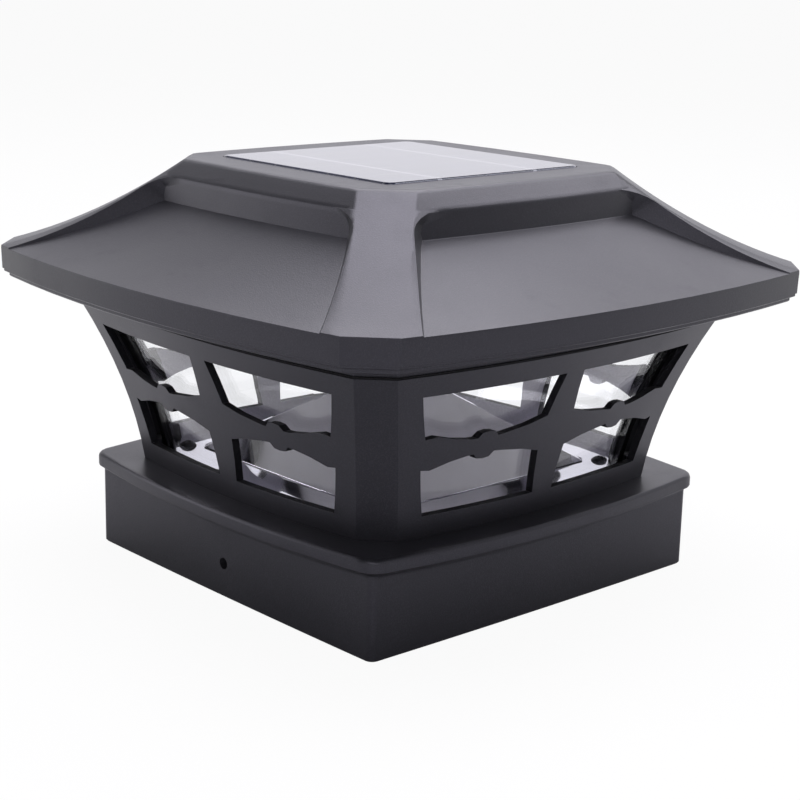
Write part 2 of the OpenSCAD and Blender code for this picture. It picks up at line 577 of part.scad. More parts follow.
module tray_screw(i) color("gray") translate([tray_posts[i][0], tray_posts[i][1], lip_z]) screw(lip_t + 7);
module tray_screw_1() tray_screw(0);
module tray_screw_2() tray_screw(1);
module tray_screw_3() tray_screw(2);
module tray_screw_4() tray_screw(3);

// foam ring between the tray's shoulder and the top of the cage
module top_seal() color("black") {
    a0 = cage_top_a - cage_wall + 0.1;
    a1 = plug_a - 0.4;
    c = cage_cut - 0.5;
    skin([pillow(a0, cage_top_z, c, plug_bow), pillow(a1, cage_top_z, c, plug_bow),
        pillow(a1, shoulder_z, c, plug_bow), pillow(a0, shoulder_z, c, plug_bow)], closed = true);
}

// white plate under the tray that throws the lamp's light back onto the pyramid
module ceiling_reflector() color("white") {
    a = spigot_a - tray_t - 0.4;
    z = ceiling_z - 1;
    difference() {
        skin([for (h = [z, ceiling_z]) pillow(a, h, spigot_cut - tray_t * (2 - sqrt(2)), spigot_bow)]);
        box(-door_x - 2, door_x + 2, -cell_y - door_y - 8, hinge_y + lug_r + 0.6, z - 1, ceiling_z + 1);
        box(-slot_x - 1.5, slot_x + 1.5, switch_y - slot_y - 1.5, switch_y + slot_y + 1.5, z - 1, ceiling_z + 1);
        translate([0, 0, z - 1]) cylinder(d = lamp_d + 1.6, h = 3, $fn = 48);
    }
}

// ---- solar panel, bottom layer first ----
panel_a = panel_w / 2;
pad_t = 0.4;
cell_t = 0.3;
solar_board_t = 1.2;
panel_rise = 0.45;
board_base = pocket_z + pad_t;
cells_base = board_base + solar_board_t;
cover_base = cells_base + cell_t;
module solar_pad() color("gray") difference() {
    rounded_plate(panel_a - 2, panel_r, pocket_z, board_base);
    for (x = [-1, 1]) translate([x * lead_x, lead_y, pocket_z - 1]) cylinder(d = 4, h = 3, $fn = 32);
}
module solar_board() color("darkgreen") rounded_plate(panel_a, panel_r, board_base, cells_base);
module solar_cells() color("midnightblue") {
    w = (2 * panel_a - 5) / cell_strips;
    for (i = [0:cell_strips - 1]) translate([-panel_a + 2.5 + w * i + 0.4, -panel_a + 2.5, cells_base])
        cube([w - 0.8, 2 * panel_a - 5, cell_t]);
    for (y = [-0.5, 0.5]) translate([-panel_a + 4, y * panel_a - 0.8, cells_base]) cube([2 * panel_a - 8, 1.6, cell_t]);
}
module solar_cover() color("slategray") {
    rounded_plate(panel_a, panel_r, cover_base, top_z + panel_rise - 0.5);
    for (k = [1:3]) rounded_plate(panel_a - 0.5 * (1 - cos(30 * k)), panel_r, cover_base + 0.1, top_z + panel_rise - 0.5 + 0.5 * sin(30 * k));
}

// ---- cell compartment ----
module cell_box() color("dimgray") difference() {
    box(-box_in_x - box_wall, box_in_x + box_wall, -cell_y - box_in_y - box_wall, -cell_y + box_in_y + box_wall,
        tray_floor_z, box_top + box_wall);
    box(-box_in_x, box_in_x, -cell_y - box_in_y, -cell_y + box_in_y, tray_floor_z - 1, box_top);
    for (x = [-1, 1]) box(x * (box_in_x - 0.4) - 0.5, x * (box_in_x - 0.4) + 0.5, -cell_y - 2.6, -cell_y + 2.6, box_top - 1, box_top + 4);
}
nub_l = 1;
nub_d = 5.5;
module battery_cell() color("seagreen") translate([-cell_l / 2, -cell_y, cell_zc]) rotate([0, 90, 0]) {
    rotate_extrude($fn = 64) polygon([[0, 0], [cell_d / 2 - 0.5, 0], [cell_d / 2, 0.5], [cell_d / 2, cell_l - nub_l - 0.7],
        [cell_d / 2 - 0.7, cell_l - nub_l], [0, cell_l - nub_l]]);
    translate([0, 0, cell_l - nub_l - eps]) cylinder(d = nub_d, h = nub_l + eps, $fn = 48);
}
// a sprung contact: a plate against the end wall, with a bent tongue that reaches the cell
contact_t = 0.5;
module contact() {
    x = box_in_x - contact_t;
    box(x, box_in_x, -cell_y - 5, -cell_y + 5, cell_zc - 5.5, box_top - 0.3);
    box(x, box_in_x, -cell_y - 2, -cell_y + 2, box_top - 0.4, box_top + box_wall + 2);
    translate([0, -cell_y + 2.5, 0]) rotate([90, 0, 0]) linear_extrude(5)
        polygon([[x + eps, cell_zc - 5], [cell_l / 2 + 0.4, cell_zc - 2.5], [cell_l / 2 + 0.02, cell_zc - 0.5],
            [cell_l / 2 + 0.02, cell_zc + 0.5], [cell_l / 2 + 0.4, cell_zc + 2.2], [cell_l / 2 + 0.8, cell_zc + 2],
            [cell_l / 2 + 0.5, cell_zc + 0.4], [cell_l / 2 + 0.5, cell_zc - 0.4], [cell_l / 2 + 0.8, cell_zc - 2.3],
            [x + eps, cell_zc - 4.2]]);
}
module contact_plus() color("gold") contact();
module contact_minus() color("gold") mirror([1, 0, 0]) contact();

module battery_door() color("dimgray") {
    z1 = ceiling_z + door_t;
    difference() {
        box(-door_x, door_x, -cell_y - door_y, -cell_y + door_y, ceiling_z, z1);
        for (k = [-2:2]) box(-6, 6, -cell_y - door_y + 3 + 1.6 * k - eps * k - 0.3, -cell_y - door_y + 3.3 + 1.6 * k, 0, ceiling_z + 0.4);
    }
    for (m = [0, 1]) mirror([m, 0, 0]) {
        translate([knuckle_x[0], hinge_y, hinge_z]) rotate([0, 90, 0]) cylinder(r = knuckle_r, h = knuckle_x[1] - knuckle_x[0], $fn = 48);
        box(knuckle_x[0], knuckle_x[1], -cell_y + door_y - 0.5, hinge_y, ceiling_z, ceiling_z + 1);
        translate([knuckle_x[1] - 0.5, hinge_y, hinge_z]) rotate([0, 90, 0]) cylinder(r = pin_r, h = lug_x[1] - knuckle_x[1] + 0.3, $fn = 48);
    }
}

// ---- lamp, switch and control board ----
lamp_board_t = 1.2;
lamp_board_z = tray_floor_z + 0.2;
module lamp_board() color("white") translate([0, 0, tray_floor_z]) cylinder(d = 16, h = lamp_board_t, $fn = 64);
module lamp_dome() color("lemonchiffon") rotate_extrude($fn = 64) difference() {
    union() {
        translate([0, ceiling_z - 1.2]) square([lamp_d / 2, tray_floor_z - ceiling_z + 1.2]);
        translate([0, ceiling_z - 1.2]) circle(lamp_d / 2, $fn = 64);
    }
    translate([-lamp_d, ceiling_z - 10]) square([lamp_d, 20]);
}
switch_in = [6.2, 2.5];
switch_h = 6;
module switch_body() color("black") difference() {
    box(-switch_in[0] - 1, switch_in[0] + 1, switch_y - switch_in[1] - 1, switch_y + switch_in[1] + 1, tray_floor_z, tray_floor_z + switch_h);
    box(-switch_in[0], switch_in[0], switch_y - switch_in[1], switch_y + switch_in[1], tray_floor_z - 1, tray_floor_z + switch_h - 2);
}
knob_shoulder = [2.8, 2.1];
module switch_knob() color("white") translate([-switch_travel / 2, switch_y, 0]) {
    box(-knob_w / 2, knob_w / 2, -knob_t / 2, knob_t / 2, ceiling_z - 2, tray_floor_z + 0.4);
    box(-knob_shoulder[0], knob_shoulder[0], -knob_shoulder[1], knob_shoulder[1], tray_floor_z + 0.1, tray_floor_z + 1.8);
}
module control_board() color("darkgreen") difference() {
    box(-board_x, board_x, board_y[0], board_y[1], board_z, board_z + board_t);
    for (p = board_posts) translate([p[0], p[1], board_z - 1]) cylinder(d = 2.4, h = 4, $fn = 32);
}
module control_chip() color("black") box(-5, 4, 25, 34, board_z + board_t, board_z + board_t + 1.4);
module control_coil() color("sienna") translate([11, 29, board_z + board_t]) rotate_extrude($fn = 48)
    polygon([[0, 0], [3.4, 0], [3.4, 0.7], [2.2, 1.1], [2.2, 2.6], [3.4, 3], [3.4, 3.6], [0, 3.6]]);
module board_screw(i) color("gray") translate([board_posts[i][0], board_posts[i][1], board_z + board_t]) {
    difference() {
        cylinder(d = 4, h = 1.3, $fn = 48);
        for (k = [0, 90]) rotate(k) translate([-1.2, -0.25, 0.6]) cube([2.4, 0.5, 1]);
    }
    translate([0, 0, -board_t - 3.6]) cylinder(d = 1.9, h = board_t + 3.7, $fn = 32);
}
module board_screw_1() board_screw(0);
module board_screw_2() board_screw(3);

// ---- hook-up leads, each along a few straight runs ----
module run(p, q) {
    d = q - p;
    translate(p) rotate([0, acos(d[2] / norm(d)), atan2(d[1], d[0])]) cylinder(d = lead_d, h = norm(d), $fn = 24);
}
module lead(path) {
    for (i = [1:len(path) - 1]) run(path[i - 1], path[i]);
    for (i = [1:1:len(path) - 2]) translate(path[i]) sphere(d = lead_d, $fn = 24);
}
board_top = board_z + board_t;
tab_top = box_top + box_wall + 2;
tab_x = box_in_x - contact_t / 2;
module panel_lead_plus() color("red") lead([[lead_x, lead_y, board_top], [lead_x, lead_y, board_base]]);
module panel_lead_minus() color("black") lead([[-lead_x, lead_y, board_top], [-lead_x, lead_y, board_base]]);
module cell_lead(x) lead([[x * tab_x, -cell_y, tab_top], [x * tab_x, -cell_y, tab_top + 2],
    [x * tab_x, board_y[0] + 10, tab_top + 2], [x * board_x * 0.8, board_y[0] + 10, tab_top + 2],
    [x * board_x * 0.8, board_y[0] + 10, board_top]]);
module cell_lead_plus() color("red") cell_lead(1);
module cell_lead_minus() color("black") cell_lead(-1);
module lamp_lead(x) lead([[x * 2.5, 0, tray_floor_z + lamp_board_t], [x * 2.5, 0, board_top + 5],
    [x * 2.5, board_y[0] + 3, board_top + 5], [x * 2.5, board_y[0] + 3, board_top]]);
module lamp_lead_plus() color("red") lamp_lead(1);
module lamp_lead_minus() color("black") lamp_lead(-1);

base();
cage();
lens();
reflector_floor();
reflector_pyramid();
floor_screw_1();
floor_screw_2();
floor_screw_3();
floor_screw_4();
cage_screw_1();
cage_screw_2();
cage_screw_3();
cage_screw_4();
roof_shell();
roof_tray();
top_seal();
ceiling_reflector();
tray_screw_1();
tray_screw_2();
tray_screw_3();
tray_screw_4();
solar_pad();
solar_board();
solar_cells();
solar_cover();
cell_box();
battery_cell();
contact_plus();
contact_minus();
battery_door();
lamp_board();
lamp_dome();
switch_body();
switch_knob();
control_board();
control_chip();
control_coil();
board_screw_1();
board_screw_2();
panel_lead_plus();
panel_lead_minus();
cell_lead_plus();
cell_lead_minus();
lamp_lead_plus();
lamp_lead_minus();
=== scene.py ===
# %% [markdown]
# # Dressing a solar post cap light
#
# The lantern is already built to size in CAD. This lesson loads that model as a fixed frame and
# adds what a picture needs: soft edges that catch the light, satin black plastic, clear and
# mirrored plastic, a solar panel, and a pale studio. Lengths are in metres, apart from the
# camera's lens and sensor, which are in millimetres.

# %% Load the frame
import bpy, math
from mathutils import Matrix, Vector


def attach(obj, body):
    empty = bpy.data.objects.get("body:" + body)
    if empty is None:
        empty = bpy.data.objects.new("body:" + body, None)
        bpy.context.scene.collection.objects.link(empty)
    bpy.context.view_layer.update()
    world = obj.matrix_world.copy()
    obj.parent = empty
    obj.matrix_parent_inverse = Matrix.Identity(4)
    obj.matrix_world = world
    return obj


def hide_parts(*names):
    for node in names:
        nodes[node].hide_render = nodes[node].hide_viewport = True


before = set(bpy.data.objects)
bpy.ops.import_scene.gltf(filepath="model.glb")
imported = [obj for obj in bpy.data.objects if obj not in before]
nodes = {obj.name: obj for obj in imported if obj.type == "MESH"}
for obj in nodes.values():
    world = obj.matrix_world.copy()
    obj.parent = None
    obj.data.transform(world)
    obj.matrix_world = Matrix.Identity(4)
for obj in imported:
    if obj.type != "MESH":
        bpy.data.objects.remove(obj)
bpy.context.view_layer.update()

# %% [markdown]
# ## The camera
#
# A product photo is usually taken from a little above, with a longish lens, so that the
# object's edges stay nearly parallel. The camera could be aimed by hand, but then nobody could
# say where it stands. Here it stands on a circle round the lantern, turned just under 48
# degrees so that one corner points at it, and a small roll and shift frame the picture.

# %% The camera
def place_camera(turn, rise, roll, distance, target, lens):
    a, e, r = (math.radians(v) for v in (turn, rise, roll))
    back = Vector((math.sin(a) * math.cos(e), -math.cos(a) * math.cos(e), math.sin(e)))
    right = Vector((math.cos(a), math.sin(a), 0))
    up = back.cross(right)
    right, up = right * math.cos(r) + up * math.sin(r), up * math.cos(r) - right * math.sin(r)
    bpy.ops.object.camera_add()
    camera = bpy.context.object
    camera.name = "camera"
    camera.matrix_world = Matrix((
        (right.x, up.x, back.x, target.x + distance * back.x),
        (right.y, up.y, back.y, target.y + distance * back.y),
        (right.z, up.z, back.z, target.z + distance * back.z),
        (0, 0, 0, 1)))
    camera.data.sensor_width = 36
    camera.data.lens = lens
    camera.data.clip_start = 0.02
    return camera

camera = place_camera(47.81, 14.48, 1.34, 0.56513, Vector((0, 0, 0.0505)), 79.51)
camera.data.shift_x, camera.data.shift_y = 0.0077, 0.0014
bpy.context.scene.camera = camera
print("camera at", [round(v, 3) for v in camera.location])

# %% [markdown]
# ## Colours and nodes
#
# A colour is easiest to judge on a screen, but a shader wants light values, and `screen` turns
# one into the other. `new_material` starts a material with nothing in it but its output.
# `add_node` places one node and sets its plain values, and `join` draws the wires, so that a
# material reads as a short list. The numbers 6 and 7 are a colour Mix node's two colours, and
# 2 and 3 are a plain Mix node's two values.

# %% Colours are written as they look on screen
def screen(r, g, b, alpha=1.0):
    def linear(v):
        v /= 255
        return v / 12.92 if v <= 0.04045 else ((v + 0.055) / 1.055) ** 2.4
    return (linear(r), linear(g), linear(b), alpha)

print("middle grey as light:", round(screen(119, 119, 119)[0], 3))

# %% Helpers for node trees
def add_node(tree, kind, at, values=None, **settings):
    node = tree.nodes.new(kind)
    node.location = at
    for name, value in settings.items():
        setattr(node, name, value)
    for socket, value in (values or {}).items():
        node.inputs[socket].default_value = value
    return node

def join(tree, *links):
    for a, b in links:
        tree.links.new(a, b)

def new_material(name):
    material = bpy.data.materials.new(name)
    material.use_nodes = True
    tree = material.node_tree
    tree.nodes.clear()
    out = add_node(tree, "ShaderNodeOutputMaterial", (700, 0))
    return material, tree, out

# %% [markdown]
# ## The studio
#
# The floor is a wide pale sheet. A strong lamp could burn it out to white, but it would spoil
# the black plastic too. So the camera sees mostly plain white, by Light Path, mixed with a
# little of the lit sheet, which keeps the lantern's soft shadow. What is seen through clear
# plastic gets the same white, and so does what gloss mirrors of the part behind the lantern. In
# front the floor is only as bright as it is lit, and the sheet itself is greyer for its own
# bounced light, so that it doesn't light the lantern too much from below.

# %% The sheet
bpy.ops.object.select_all(action="DESELECT")
bpy.ops.mesh.primitive_circle_add(vertices=96, radius=9, fill_type="NGON", location=(0, 0, 0))
floor = bpy.context.object
floor.name = "floor"
print("floor", [round(v, 1) for v in floor.dimensions])

# %% Its finish
white_share = 0.94
away_from_camera = (-0.74, 0.67, 0)
paper, tree, out = new_material("pale_floor")
sheet = add_node(tree, "ShaderNodeMix", (-200, 100),
    {6: (0.62, 0.62, 0.63, 1), 7: (0.97, 0.97, 0.97, 1)}, data_type="RGBA")
matt = add_node(tree, "ShaderNodeBsdfDiffuse", (0, 100))
white = add_node(tree, "ShaderNodeEmission", (0, -100), {"Color": (1, 1, 1, 1), "Strength": 1.0})
path = add_node(tree, "ShaderNodeLightPath", (-800, 400))
place = add_node(tree, "ShaderNodeTexCoord", (-1200, 100))
depth = add_node(tree, "ShaderNodeVectorMath", (-1000, 100), {1: away_from_camera},
    operation="DOT_PRODUCT")
behind = add_node(tree, "ShaderNodeMapRange", (-800, 100), {"From Min": -0.1, "From Max": 0.3},
    interpolation_type="SMOOTHSTEP")
mirrored = add_node(tree, "ShaderNodeMath", (-600, 200), operation="MULTIPLY")
direct = add_node(tree, "ShaderNodeMath", (-600, 400), operation="MAXIMUM")
any_view = add_node(tree, "ShaderNodeMath", (-400, 300), operation="MAXIMUM")
share = add_node(tree, "ShaderNodeMath", (-200, 300), {1: white_share}, operation="MULTIPLY")
blend = add_node(tree, "ShaderNodeMixShader", (300, 0))
join(tree,
    (place.outputs["Object"], depth.inputs[0]),
    (depth.outputs["Value"], behind.inputs["Value"]),
    (path.outputs["Is Glossy Ray"], mirrored.inputs[0]),
    (behind.outputs[0], mirrored.inputs[1]),
    (path.outputs["Is Camera Ray"], direct.inputs[0]),
    (path.outputs["Is Transmission Ray"], direct.inputs[1]),
    (direct.outputs[0], sheet.inputs[0]),
    (sheet.outputs[2], matt.inputs["Color"]),
    (direct.outputs[0], any_view.inputs[0]),
    (mirrored.outputs[0], any_view.inputs[1]),
    (any_view.outputs[0], share.inputs[0]),
    (share.outputs[0], blend.inputs[0]),
    (matt.outputs[0], blend.inputs[1]),
    (white.outputs[0], blend.inputs[2]),
    (blend.outputs[0], out.inputs["Surface"]))
floor.data.materials.append(paper)
print("white share of the floor:", white_share)

# %% [markdown]
# ## The air
#
# The air of the studio is a sky without a sun. An even sky would flatten black plastic, which
# shows its shape only by what it mirrors. So the sky is bright behind and above the lantern and
# dim on the camera's side, where a real studio is dark. The camera sees it in the tone that the
# floor has, so that no horizon shows. Through clear plastic it is a white with a touch of lilac,
# and gloss mirrors that white only from behind the lantern.

# %% Air
air_dim, air_bright, air_white = 0.14, 0.28, 1.0
world = bpy.data.worlds.new("studio_air")
bpy.context.scene.world = world
world.use_nodes = True
tree = world.node_tree
tree.nodes.clear()
out = add_node(tree, "ShaderNodeOutputWorld", (700, 0))
air = add_node(tree, "ShaderNodeBackground", (500, 0))
path = add_node(tree, "ShaderNodeLightPath", (-200, 400))
tone = add_node(tree, "ShaderNodeMix", (250, 300),
    {6: (0.95, 0.94, 1, 1), 7: (0.965, 0.965, 0.965, 1)}, data_type="RGBA")
place = add_node(tree, "ShaderNodeTexCoord", (-600, 0))
facing = add_node(tree, "ShaderNodeVectorMath", (-400, 0), {1: (-0.62, 0.56, 0.55)},
    operation="DOT_PRODUCT")
level = add_node(tree, "ShaderNodeMapRange", (-200, 0), {"From Min": -0.7, "From Max": 0.5,
    "To Min": air_dim, "To Max": air_bright}, interpolation_type="SMOOTHSTEP")
towards_back = add_node(tree, "ShaderNodeVectorMath", (-400, -300), {1: (-0.45, 0.85, 0)},
    operation="DOT_PRODUCT")
backdrop = add_node(tree, "ShaderNodeMapRange", (-200, -300), {"From Min": 0.0, "From Max": 0.8,
    "To Min": air_dim, "To Max": air_white}, interpolation_type="SMOOTHSTEP")
gloss = add_node(tree, "ShaderNodeMix", (50, 0))
plain = add_node(tree, "ShaderNodeMath", (50, 300), operation="MAXIMUM")
seen = add_node(tree, "ShaderNodeMix", (250, 0), {3: air_white})
join(tree,
    (place.outputs["Generated"], facing.inputs[0]),
    (facing.outputs["Value"], level.inputs["Value"]),
    (place.outputs["Generated"], towards_back.inputs[0]),
    (towards_back.outputs["Value"], backdrop.inputs["Value"]),
    (path.outputs["Is Glossy Ray"], gloss.inputs[0]),
    (level.outputs[0], gloss.inputs[2]),
    (backdrop.outputs[0], gloss.inputs[3]),
    (path.outputs["Is Camera Ray"], plain.inputs[0]),
    (path.outputs["Is Transmission Ray"], plain.inputs[1]),
    (plain.outputs[0], seen.inputs[0]),
    (gloss.outputs[0], seen.inputs[2]),
    (path.outputs["Is Camera Ray"], tone.inputs[0]),
    (tone.outputs[2], air.inputs["Color"]),
    (seen.outputs[0], air.inputs["Strength"]),
    (air.outputs[0], out.inputs["Surface"]))
print("air from", air_dim, "to", air_bright)

# %% [markdown]
# ## Soft boxes
#
# Black plastic shows hardly any colour of its own: what the eye sees is the studio mirrored in
# it. So the lamps are large sheets and not points, placed where the roof's slopes look at them,
# and one behind the camera lights the far inner walls through the windows. The camera doesn't
# see them. A sheet is given as its place, its two sides and how bright its face is.

# %% Lamps
lamp_tint = (0.955, 0.93, 1)
lamp_target = Vector((0, 0, 0.08))

def soft_box(name, at, width, depth, radiance):
    bpy.ops.object.light_add(type="AREA", location=at)
    lamp = bpy.context.object
    lamp.name = name
    lamp.data.shape = "RECTANGLE"
    lamp.data.size, lamp.data.size_y = width, depth
    lamp.data.energy = radiance * math.pi * width * depth
    aim = (lamp_target - Vector(at)).normalized()
    lamp.rotation_mode = "QUATERNION"
    lamp.rotation_quaternion = aim.to_track_quat("-Z", "Y")
    lamp.data.color = lamp_tint
    lamp.visible_camera = False

soft_box("overhead", (-0.1, 0.05, 1.3), 0.9, 0.9, 4.8)
soft_box("high_right", (0.05, 0.85, 1.0), 0.8, 0.7, 2.1)
soft_box("high_back", (-0.65, 0.6, 1.0), 0.7, 0.6, 2.2)
soft_box("low_left", (-1.0, -0.85, 0.35), 0.8, 0.6, 1.7)
soft_box("front_right", (1.3, 0.2, 0.6), 0.7, 0.5, 0.9)
soft_box("front_fill", (0.85, -0.78, 0.42), 0.8, 0.5, 2.0)
bpy.context.scene.view_settings.view_transform = "Standard"

# %% [markdown]
# ## Effects that several finishes share
#
# A moulded part is never one flat colour. Its mould was spark eroded, so the skin has a fine
# grain; the plastic cooled unevenly, so there are soft clouds in the sheen; and hands have been
# on it. Each of these could be drawn anew in every material. As a node group it is drawn once
# and placed with each finish's own numbers. A group gives out masks and heights only, and the
# shader stays in the material.

# %% A helper for groups
def new_group(name, inputs, outputs):
    group = bpy.data.node_groups.new(name, "ShaderNodeTree")
    for label, kind, value in inputs:
        socket = group.interface.new_socket(name=label, in_out="INPUT", socket_type=kind)
        if value is not None:
            socket.default_value = value
    for label in outputs:
        group.interface.new_socket(name=label, in_out="OUTPUT", socket_type="NodeSocketFloat")
    start = add_node(group, "NodeGroupInput", (-900, 0))
    end = add_node(group, "NodeGroupOutput", (600, 0))
    return group, start, end

# %% Spark-eroded grain: a mask of fine specks and the height of the grain
grain, start, end = new_group("moulding_grain", [("Vector", "NodeSocketVector", None),
    ("Scale", "NodeSocketFloat", 1500.0)], ["Specks", "Height"])
fine = add_node(grain, "ShaderNodeTexNoise", (-600, 150), {"Detail": 2.0, "Roughness": 0.6})
pits = add_node(grain, "ShaderNodeTexVoronoi", (-600, -150), {"Randomness": 1.0})
specks = add_node(grain, "ShaderNodeMapRange", (-200, 150), {"From Min": 0.55, "From Max": 0.68,
    "To Min": 0.0, "To Max": 1.6}, clamp=False)
height = add_node(grain, "ShaderNodeMath", (0, -150), operation="ADD")
join(grain,
    (start.outputs["Vector"], fine.inputs["Vector"]),
    (start.outputs["Vector"], pits.inputs["Vector"]),
    (start.outputs["Scale"], fine.inputs["Scale"]),
    (start.outputs["Scale"], pits.inputs["Scale"]),
    (fine.outputs[0], specks.inputs["Value"]),
    (specks.outputs[0], end.inputs["Specks"]),
    (fine.outputs[0], height.inputs[0]),
    (pits.outputs["Distance"], height.inputs[1]),
    (height.outputs[0], end.inputs["Height"]))
print("group:", grain.name)

# %% Clouds: slow changes of sheen, from cooling, and smudges, from handling
clouds, start, end = new_group("cooling_clouds", [("Vector", "NodeSocketVector", None),
    ("Scale", "NodeSocketFloat", 25.0)], ["Cloud", "Smudge"])
slow = add_node(clouds, "ShaderNodeTexNoise", (-600, 150),
    {"Detail": 3.0, "Roughness": 0.55, "Distortion": 0.4})
patch = add_node(clouds, "ShaderNodeTexNoise", (-600, -150),
    {"Scale": 60.0, "Detail": 5.0, "Roughness": 0.65})
cloud = add_node(clouds, "ShaderNodeMapRange", (-200, 150), {"From Min": 0.3, "From Max": 0.7})
smudge = add_node(clouds, "ShaderNodeMapRange", (-200, -150), {"From Min": 0.56, "From Max": 0.72})
join(clouds,
    (start.outputs["Vector"], slow.inputs["Vector"]),
    (start.outputs["Vector"], patch.inputs["Vector"]),
    (start.outputs["Scale"], slow.inputs["Scale"]),
    (slow.outputs[0], cloud.inputs["Value"]),
    (patch.outputs[0], smudge.inputs["Value"]),
    (cloud.outputs[0], end.inputs["Cloud"]),
    (smudge.outputs[0], end.inputs["Smudge"]))
print("group:", clouds.name)

# %% Ripple: how a thin sheet sags and draws, seen only in a mirror or in clear plastic
ripple, start, end = new_group("moulding_ripple", [("Vector", "NodeSocketVector", None),
    ("Scale", "NodeSocketFloat", 40.0), ("Drawn", "NodeSocketFloat", 1.2)], ["Height"])
swell = add_node(ripple, "ShaderNodeTexNoise", (-500, 100), {"Detail": 1.0, "Roughness": 0.4})
join(ripple,
    (start.outputs["Vector"], swell.inputs["Vector"]),
    (start.outputs["Scale"], swell.inputs["Scale"]),
    (start.outputs["Drawn"], swell.inputs["Distortion"]),
    (swell.outputs[0], end.inputs["Height"]))
print("group:", ripple.name)

# %% [markdown]
# ## The black moulding
#
# The housing is weatherproof plastic, black with a satin skin. A plain black would look like a
# hole. Seen close, the real one is a very dark grey that turns lilac grey where it mirrors the
# studio, so its gloss is tinted. The colour moves a little with the clouds and is lighter at
# the specks of the grain, and the housing's grain is a bump of two hundredths of a millimetre.
# A second finish, for the bevelled edges, is a little lighter and smoother, because edges are
# rubbed first. The same recipe, with other numbers, makes the matt inner black, the sides of the
# windows, painted darker as painted shade, and the inside of the cage, painted pale as painted
# light.

# %% Satin black
def satin_black(name, dark, light, rough, grain_scale=2600.0, grain_depth=0.00002, rubbed=0.0,
        ior=1.6):
    material, tree, out = new_material(name)
    place = add_node(tree, "ShaderNodeTexCoord", (-1100, 0))
    skin = add_node(tree, "ShaderNodeGroup", (-850, 200), node_tree=grain)
    skin.inputs["Scale"].default_value = grain_scale
    cooled = add_node(tree, "ShaderNodeGroup", (-850, -100), node_tree=clouds)
    mixed = add_node(tree, "ShaderNodeMath", (-600, 100), {1: 0.35, 2: 0.15 + rubbed},
        operation="MULTIPLY_ADD")
    tint = add_node(tree, "ShaderNodeMath", (-450, 0), {1: 0.4}, operation="MULTIPLY_ADD")
    colour = add_node(tree, "ShaderNodeMix", (-250, 200), {6: dark, 7: light}, data_type="RGBA")
    sheen = add_node(tree, "ShaderNodeMapRange", (-450, -200),
        {"To Min": rough - 0.03, "To Max": rough + 0.05})
    marks = add_node(tree, "ShaderNodeMath", (-250, -200), {1: 0.06}, operation="MULTIPLY_ADD")
    relief = add_node(tree, "ShaderNodeBump", (-250, -400),
        {"Strength": 1.0, "Distance": grain_depth})
    shader = add_node(tree, "ShaderNodeBsdfPrincipled", (200, 0),
        {"IOR": ior, "Specular Tint": (0.9, 0.89, 1, 1)})
    join(tree,
        (place.outputs["Object"], skin.inputs["Vector"]),
        (place.outputs["Object"], cooled.inputs["Vector"]),
        (skin.outputs["Specks"], mixed.inputs[0]),
        (cooled.outputs["Cloud"], tint.inputs[0]),
        (mixed.outputs[0], tint.inputs[2]),
        (tint.outputs[0], colour.inputs[0]),
        (cooled.outputs["Cloud"], sheen.inputs["Value"]),
        (cooled.outputs["Smudge"], marks.inputs[0]),
        (sheen.outputs[0], marks.inputs[2]),
        (skin.outputs["Height"], relief.inputs["Height"]),
        (colour.outputs[2], shader.inputs["Base Color"]),
        (marks.outputs[0], shader.inputs["Roughness"]),
        (relief.outputs[0], shader.inputs["Normal"]),
        (shader.outputs[0], out.inputs["Surface"]))
    return material

# %% The finishes of the moulding
housing = satin_black("housing_satin_black", screen(33, 33, 36), screen(48, 48, 52), 0.36)
housing_edge = satin_black("housing_rubbed_edge", screen(37, 37, 40), screen(56, 56, 61), 0.3,
    rubbed=0.2)
inner_black = satin_black("tray_inner_black", screen(27, 27, 29), screen(36, 36, 38), 0.5,
    900.0, 0.00005)
# Painted shade: the window sides and the cage's inner corners are coloured darker than the housing.
window_side = satin_black("cage_window_side_painted_shade", screen(14, 14, 16), screen(22, 22, 24), 0.6,
    900.0, 0.00005, ior=1.3)
# Painted light: the inside of the cage is coloured pale to stand in for the light on the far inner
# walls seen through the sleeve.
cage_inside = satin_black("cage_inside_painted_light", screen(205, 202, 214), screen(222, 219, 230),
    0.45, 1400.0, 0.000005)
print("skins:", [m.name for m in (housing, housing_edge, inner_black, window_side, cage_inside)])

# %% [markdown]
# ## The clear sleeve
#
# The sleeve behind the bars is clear plastic with a real wall of 1.6 mm, so plain glass with
# the plastic's own index is enough, with a faint ripple from the mould. Glass alone would keep
# the lamps' light out of the lantern, because a ray that looks for a lamp stops at glass. So
# for shadow rays and diffuse rays the sleeve is simply open, and a little grey.

